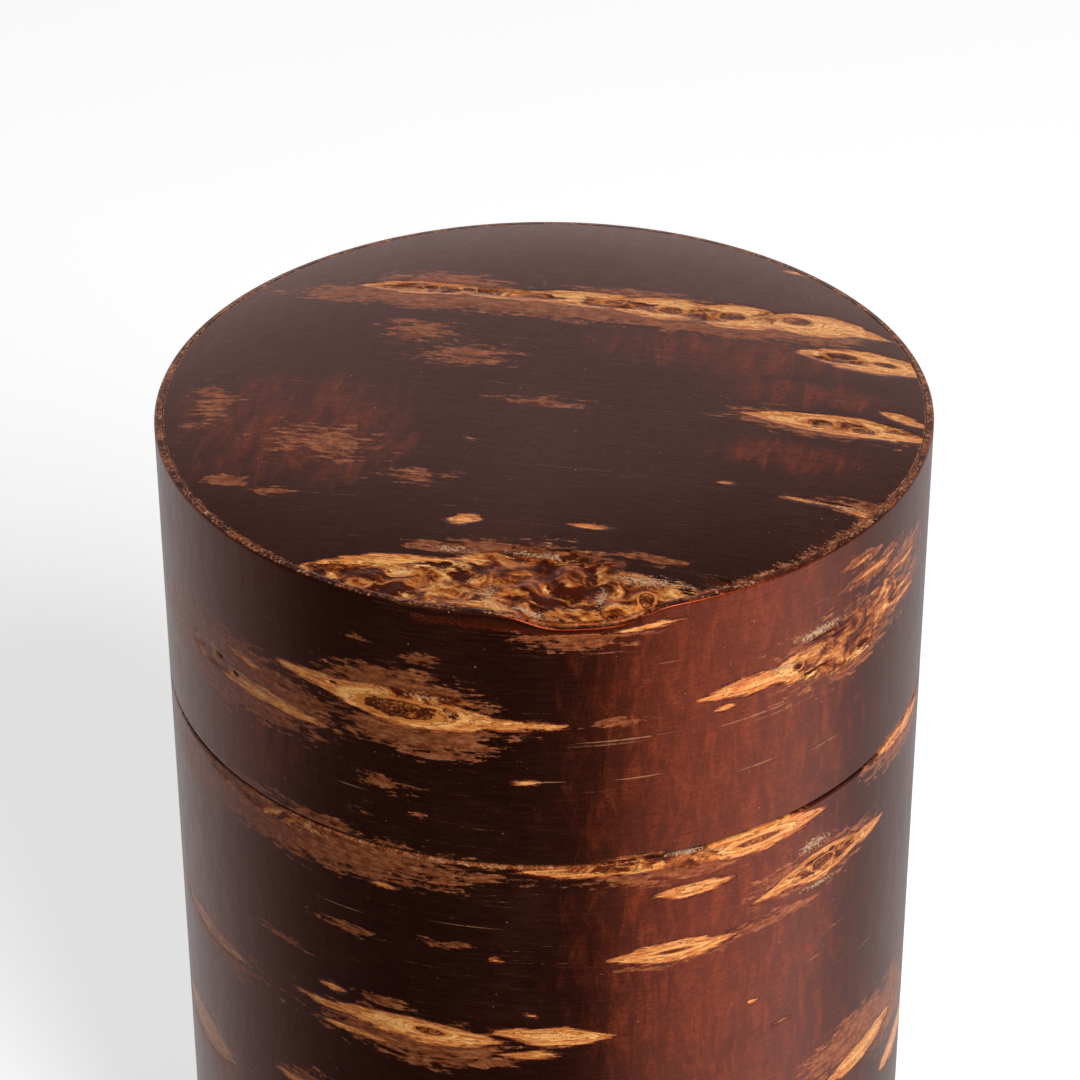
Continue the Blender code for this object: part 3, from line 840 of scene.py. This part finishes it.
TOP_LENSES = [
    (-12.5, 22.4, 8, 1.5, 0.03), (-4, 20.6, 7, 1.3, 0), (4.5, 19.4, 8.5, 1.9, 0),
    (13, 17.3, 7.5, 2.6, 0), (20.5, 15.7, 6.5, 2.9, 0), (28.5, 14.4, 7, 2.6, 0.02),
    (33, 13, 4.5, 0.8, -0.02),
    (33.8, 6.8, 8, 2.3, -0.02), (30, -6.6, 10.5, 1.9, 0), (36.5, -4.4, 2.8, 0.9, -0.25),
    (27.5, -21.1, 4.5, 0.35, 0), (32, -22.7, 3.2, 0.5, -0.1), (-7.8, -24.6, 2, 0.9, 0.2),
    (4.4, -25.9, 2.5, 0.5, 0), (-7.4, -9.6, 0.8, 0.3, 0), (18, -18.1, 0.9, 0.2, 0),
    (-14.5, -32.8, 11, 2.7, 0.08), (-3, -34.6, 12, 4.6, 0.1), (9, -36.2, 6, 2.6, -0.1),
    (28.5, 27.2, 3, 0.4, 0),
]
TOP_PATCHES = [
    (-12, 20, 13, 2.2, 1.3), (3, 17.2, 14, 2.2, 1.3), (20, 13.8, 12, 2.4, 1.3),
    (-10, 23.8, 9, 2.6, 0.9), (-13, 12.4, 7, 4.5, 0.62), (-8, 7.4, 10, 5, 0.55),
    (-22, -9.6, 10, 6, 0.6), (-13, -16.6, 8, 3, 0.5), (-31.5, -16.1, 3, 1.2, 0.9),
    (-1, -30.5, 11, 1.8, 1), (-9.5, -29.2, 5, 1.2, 0.9), (32, -21.9, 5, 1.9, 1),
    (28, -6.6, 10.5, 2.6, 1), (0, -2.6, 10, 2.5, 0.5), (-27, -18.6, 3, 1.2, 0.7),
    (-34, -1.6, 4, 8, 0.6), (-20, -13.6, 2, 1, 0.9), (33.8, 7.2, 8, 2.2, 0.9),
    (10, 19.4, 16, 3, 0.8), (10.4, -31.2, 5, 0.8, 0.9),
]
TOP_EYES = [
    (9.7, -36.8, 1.1, 1.1), (20, 15.8, 2, 1.1), (26.8, 15.2, 2.1, 1.1),
    (13.5, 17, 1.8, 0.9), (7.5, 18.8, 1.5, 0.6), (31.2, 7.8, 2.4, 0.8), (35.6, 6.6, 1.8, 0.6),
    (28, -6.1, 1.8, 0.7), (32.3, -7.3, 1.7, 0.7), (-12, 22.6, 1.2, 0.5), (-8, 21.8, 1, 0.5),
]
TOP_BURRS = [
    (-13, -34.8, 9, 2.9), (0, -35, 9, 5.6), (9, -37.2, 7, 3.2), (2.5, -40, 9, 3),
    (8, 18.4, 5, 1.1), (17, 16, 3, 1.5), (-13, 22.4, 5, 0.9), (23.5, 15.6, 1.5, 1.5),
    (30, -6.8, 4, 0.8), (-3, 20.7, 6, 0.8),
    (-17.5, -32.8, 6, 1.7), (13.5, 16.8, 4.5, 0.8), (31, 7, 3.5, 0.7), (34, -6.6, 4, 0.7),
]
TOP_CRUMBS = [
    (-5.3, -36, 0.9, 2), (-1.5, -38.4, 4, 0.5), (5.3, -36.6, 0.8, 1.7), (10, -34.6, 5, 0.9),
    (-9, -29.5, 3.4, 0.6), (29.5, -21.5, 4.5, 0.4), (0, -30.6, 6, 0.5),
]
TOP_PITS = [
    (-20.6, -33.6, 2.2, 0.8), (-14.5, -35.2, 2.8, 1.3), (-10, -31.9, 2.4, 0.6), (-8, -33.6, 1.3, 1.6),
    (0.3, -37, 3, 0.9), (-17, -32, 3, 0.25), (2.6, -35.9, 2.2, 0.5), (17.5, -35, 3, 0.8),
]
TOP_BLUSHES = [
    (27, -0.6, 9, 3), (20, 7.4, 16, 4), (24, -12.6, 8, 3), (-25, -6.6, 14, 10),
]
TOP_MARKS = {"lens": TOP_LENSES, "patch": TOP_PATCHES, "eye": TOP_EYES, "burr": TOP_BURRS,
             "crumbs": TOP_CRUMBS, "pits": TOP_PITS, "score": [], "blush": TOP_BLUSHES}
TOP_SEGMENTS = 720
TOP_ROWS = 118
TOP_THICKNESS = 0.85
TRIM_GAP = 0.06
TRIM_EDGE = 0.10
FRAY_PLACE = 27.0
FRAY_HALF = 13.0
# The front knot's dappled heart, its hollow and its dark ring: place to the right and behind.
KNOT_HEART = (2.4, -33.4)
KNOT_HOLLOW = (2.4, -34.0)
KNOT_RING = (2.5, -33.7)

outer = section_of("lid_side_bark")[0] - TRIM_GAP
under = section_of("lid_top_bark")[2]
face_radii = outer * np.linspace(0, 1, TOP_ROWS)[:-1] ** 0.8
face_radii = face_radii[face_radii < outer - TRIM_EDGE]
rim_height = crown_height(outer - TRIM_EDGE) - TRIM_EDGE
under_radii = np.array([outer, outer - 2.0, outer * 0.7, outer * 0.4, 0.0])
under_heights = crown_height(under_radii) - TOP_THICKNESS
under_heights[0] = under
outline = join_outline(
    (face_radii, crown_height(face_radii)),
    quarter_round(outer - TRIM_EDGE, rim_height, TRIM_EDGE, 90),
    (under_radii, under_heights))
along, across = disc_places(outline[0], TOP_SEGMENTS)
marks = mark_fields(along, across, TOP_MARKS, None, TOP_LEAN)
round_rim = np.arange(TOP_SEGMENTS) * (BARK_GIRTH / TOP_SEGMENTS)
fray_width = 0.30 + 1.3 * np.exp(-((round_rim - FRAY_PLACE) / FRAY_HALF) ** 4)
marks["edge"] = np.clip(1 - (outer - outline[0])[:, None] / fray_width, 0, 1)
upper = (np.arange(len(outline[0])) < int(np.argmax(outline[0])))[:, None]
near_rim = np.clip((outline[0] - outer + 4.0) / 4.0, 0, 1)[:, None] ** 2 * roll(round_rim)
eye_hill = 0.30 * np.exp(-((along - KNOT_HEART[0]) ** 2 + (across - KNOT_HEART[1]) ** 2) / 2.2)
hollow_off = np.hypot(along - KNOT_HOLLOW[0], across - KNOT_HOLLOW[1])
eye_moat = 0.34 * np.exp(-((hollow_off - 2.6) / 0.8) ** 2)
big_knot = np.clip(marks["burr"] * 3, 0, 1) * (across < -28)
ring_off = np.hypot((along - KNOT_RING[0]) / 2.1, (across - KNOT_RING[1]) / 2.7)
eye_ring = 1 - np.abs(ring_off - 0.95) / 0.36
marks["pits"] = np.maximum(marks["pits"], np.clip(eye_ring, -0.5, 0.42))
hills = (eye_hill - eye_moat + 0.16 * (uneven(along, across, 8, 3.5) - 1)) * big_knot
lift = (0.78 * near_rim, (hills - sunk_marks(marks, along, across)) * upper - 0.72 * near_rim)
top_bark = turned_surface("lid_top_bark_disc", *outline, TOP_SEGMENTS, lift, marks)
TOP_BARK = bark_material("polished_top_bark", (math.pi / 2, TOP_LEAN, 0))
settle(top_bark, TOP_BARK, "lid", "top_bark", "lid_top_bark")


# ------------------------------------------------------------
# The inner lid. A thin board with a strip of bark round its edge and a disc on each face,
# which drops into the neck. Its knob is a stack of bark pieces turned to a button.

outline = ring_outline(*section_of("inner_lid_rim_bark"), DISC_EDGE, 8)
rim_strip = turned_surface("inner_lid_rim_strip", *outline, SMOOTH_TURN)
settle(rim_strip, NECK_BARK, "inner_lid", "neck_bark", "inner_lid_rim_bark")

outline = disc_outline(*section_of("inner_lid_under_bark")[1:], FLOOR_EDGE, FLOOR_ROWS)
under_disc = turned_surface("inner_lid_under_disc", *outline, SMOOTH_TURN)
settle(under_disc, DISC_LINING, "inner_lid", "lining_bark", "inner_lid_under_bark")

inner, outer, base, top = section_of("inner_lid_top_bark")
outline = join_outline(
    (np.linspace(inner, outer - DISC_EDGE, DISC_ROWS), np.full(DISC_ROWS, top)),
    quarter_round(outer - DISC_EDGE, top - DISC_EDGE, DISC_EDGE, 90),
    ([outer, inner], [base, base]))
cover_marks = no_marks()
scatter(cover_marks, 6, 33, (-24.0, -24.0), (24.0, 24.0))
marks = mark_fields(*disc_places(outline[0], DISC_SEGMENTS), cover_marks, None, TOP_LEAN)
cover_disc = turned_surface("inner_lid_top_disc", *outline, DISC_SEGMENTS, marks=marks)
settle(cover_disc, TOP_BARK, "inner_lid", "top_bark", "inner_lid_top_bark")

KNOB_LAYER = 0.55


def knob_material():
    """Stacked bark: a light cut edge between dark layers, level round the knob."""
    material, bench, shader = new_material("stacked_knob_bark")
    place = bench.place()
    drift = bench.noise(bench.stretch(place, (0.4, 0.4, 0.8)))
    level = bench.math("ADD", bench.split(place)["Z"], bench.times(drift, 0.35))
    layer = bench.math("FRACT", bench.math("DIVIDE", level, KNOB_LAYER))
    seam = bench.ease(bench.math("ABSOLUTE", bench.math("SUBTRACT", layer, 0.5)), 0.3, 0.46)
    fine = bench.noise(bench.stretch(place, (0.8, 0.8, 5.0)), detail=4.0)
    colour = bench.mix(bench.ease(fine, 0.35, 0.65), (0.03, 0.009, 0.006), (0.12, 0.038, 0.02))
    colour = bench.mix(seam, colour, (0.3, 0.12, 0.05))
    gloss = bench.math("ADD", bench.times(fine, 0.2), 0.22)
    bench.finish(shader, colour, gloss, 0.04, bench.math("SUBTRACT", fine, seam))
    return material


_, head, tenon_base, knob_top = section_of("inner_lid_knob")
foot = section_of("inner_lid_top_bark")[3] + 0.3
tenon = 2.0
waist = 3.1
foot_flare = 4.0
head_half = 1.5
head_middle = knob_top - head_half
cap = np.linspace(0, 1, 16)[:-1]
bulge = np.linspace(np.pi / 2, -np.pi / 2, 18)
sweep = np.linspace(0, 1, 14)
outline = join_outline(
    (cap * (head - head_half), np.full(len(cap), knob_top)),
    (head - head_half + head_half * np.cos(bulge), head_middle + head_half * np.sin(bulge)),
    (waist + (head - head_half - waist) * (1 - sweep) ** 2 + (foot_flare - waist) * sweep ** 4,
     head_middle - head_half + (foot - head_middle + head_half) * sweep),
    ([tenon, tenon, 0.0], [foot, tenon_base, tenon_base]))
knob = turned_surface("inner_lid_button", *outline, 96)
settle(knob, knob_material(), "inner_lid", "knob_bark", "inner_lid_knob")


# ------------------------------------------------------------
# The studio. A pale table, one soft key light from the right, and a bright surround that is
# strongest behind the caddy. The camera is in front and above, and crops the caddy's base.

TABLE_HALF = 3.0
TABLE_PALE = (0.5, 0.492, 0.49)
TABLE_WARM = (0.52, 0.512, 0.51)
TABLE_GLOW = 0.68


def pale_table():
    """A flat table, a square grid that reaches well past the view."""
    run = np.linspace(-TABLE_HALF, TABLE_HALF, 3)
    across, along = np.meshgrid(run, run)
    points = np.stack([across, along, np.zeros_like(across)], axis=-1).reshape(-1, 3)
    faces = [(0, 1, 4, 3), (1, 2, 5, 4), (3, 4, 7, 6), (4, 5, 8, 7)]
    mesh = bpy.data.meshes.new("table")
    mesh.from_pydata(points, [], faces)
    table = bpy.data.objects.new("table", mesh)
    bpy.context.scene.collection.objects.link(table)
    material, bench, shader = new_material("pale_table")
    place = bench.node("ShaderNodeTexCoord").outputs["Object"]
    tone = bench.noise(bench.stretch(place, (6.0, 6.0, 6.0)), detail=2.0)
    bench.feed(shader.inputs["Base Color"], bench.mix(tone, TABLE_PALE, TABLE_WARM))
    shader.inputs["Roughness"].default_value = 0.9
    shader.inputs["Specular IOR Level"].default_value = 0.0
    shader.inputs["Emission Color"].default_value = (1.0, 1.0, 1.0, 1.0)
    shader.inputs["Emission Strength"].default_value = TABLE_GLOW
    mesh.materials.append(material)
    table.visible_glossy = False
    table.visible_diffuse = False


KEY_PLACE = (0.46, -0.74, 0.75)
KEY_TARGET = Vector((0.0, 0.0, 0.07))
KEY_WIDTH = 0.5
KEY_POWER = 16.3


def key_light():
    light = bpy.data.lights.new("key", "AREA")
    light.shape = "DISK"
    light.size = KEY_WIDTH
    light.energy = KEY_POWER
    lamp = bpy.data.objects.new("key", light)
    lamp.location = KEY_PLACE
    lamp.rotation_euler = (KEY_TARGET - lamp.location).to_track_quat("-Z", "Y").to_euler()
    lamp.visible_camera = False
    bpy.context.scene.collection.objects.link(lamp)


LOW_RIGHT = (0.735, -0.405, -0.545)


def surround():
    """White to the camera. What lights the caddy is brightest behind it and low on the right."""
    world = bpy.data.worlds.new("surround")
    world.use_nodes = True
    bpy.context.scene.world = world
    bench = Bench(world.node_tree)
    direction = bench.node("ShaderNodeTexCoord").outputs["Generated"]
    split = bench.split(direction)
    behind = bench.ease(split["Y"], -0.45, 0.7)
    height = bench.blend(bench.ease(split["Z"], -0.35, 0.1), 0.65,
                         bench.times(bench.ease(split["Z"], 0.72, 0.15), 1.06))
    aim = bench.node("ShaderNodeVectorMath", operation="DOT_PRODUCT")
    bench.feed(aim.inputs[0], direction)
    aim.inputs[1].default_value = LOW_RIGHT
    low_right = bench.ease(aim.outputs["Value"], 0.78, 0.985)
    glow = bench.math("ADD", bench.times(behind, height), bench.times(low_right, 1.5))
    glow = bench.math("ADD", glow, 0.03)
    seen = bench.node("ShaderNodeLightPath").outputs["Is Camera Ray"]
    strength = bench.blend(seen, glow, 1.0)
    background = world.node_tree.nodes["Background"]
    background.inputs["Color"].default_value = (1.0, 1.0, 1.0, 1.0)
    bench.feed(background.inputs["Strength"], strength)


pale_table()
surround()
key_light()

CAMERA_REACH = 397.0
CAMERA_PITCH = math.radians(30.3)
CAMERA_LENS = 128.55
CAMERA_TARGET = (-0.47, 0.0, 96.82)
CAMERA_ROLL = math.radians(0.24)

lid_edge = section_of("lid_side_bark")[3]
camera_data = bpy.data.cameras.new("camera")
camera_data.lens = CAMERA_LENS
camera_data.sensor_width = 36.0
camera = bpy.data.objects.new("camera", camera_data)
camera.location = Vector((0.0, -CAMERA_REACH * math.cos(CAMERA_PITCH),
                          lid_edge + CAMERA_REACH * math.sin(CAMERA_PITCH))) * MM
aim = (Vector(CAMERA_TARGET) * MM - camera.location).to_track_quat("-Z", "Y")
camera.rotation_euler = aim.to_euler()
camera.rotation_euler.rotate_axis("Z", -CAMERA_ROLL)
bpy.context.scene.collection.objects.link(camera)
bpy.context.scene.camera = camera
bpy.context.scene.view_settings.view_transform = "Standard"
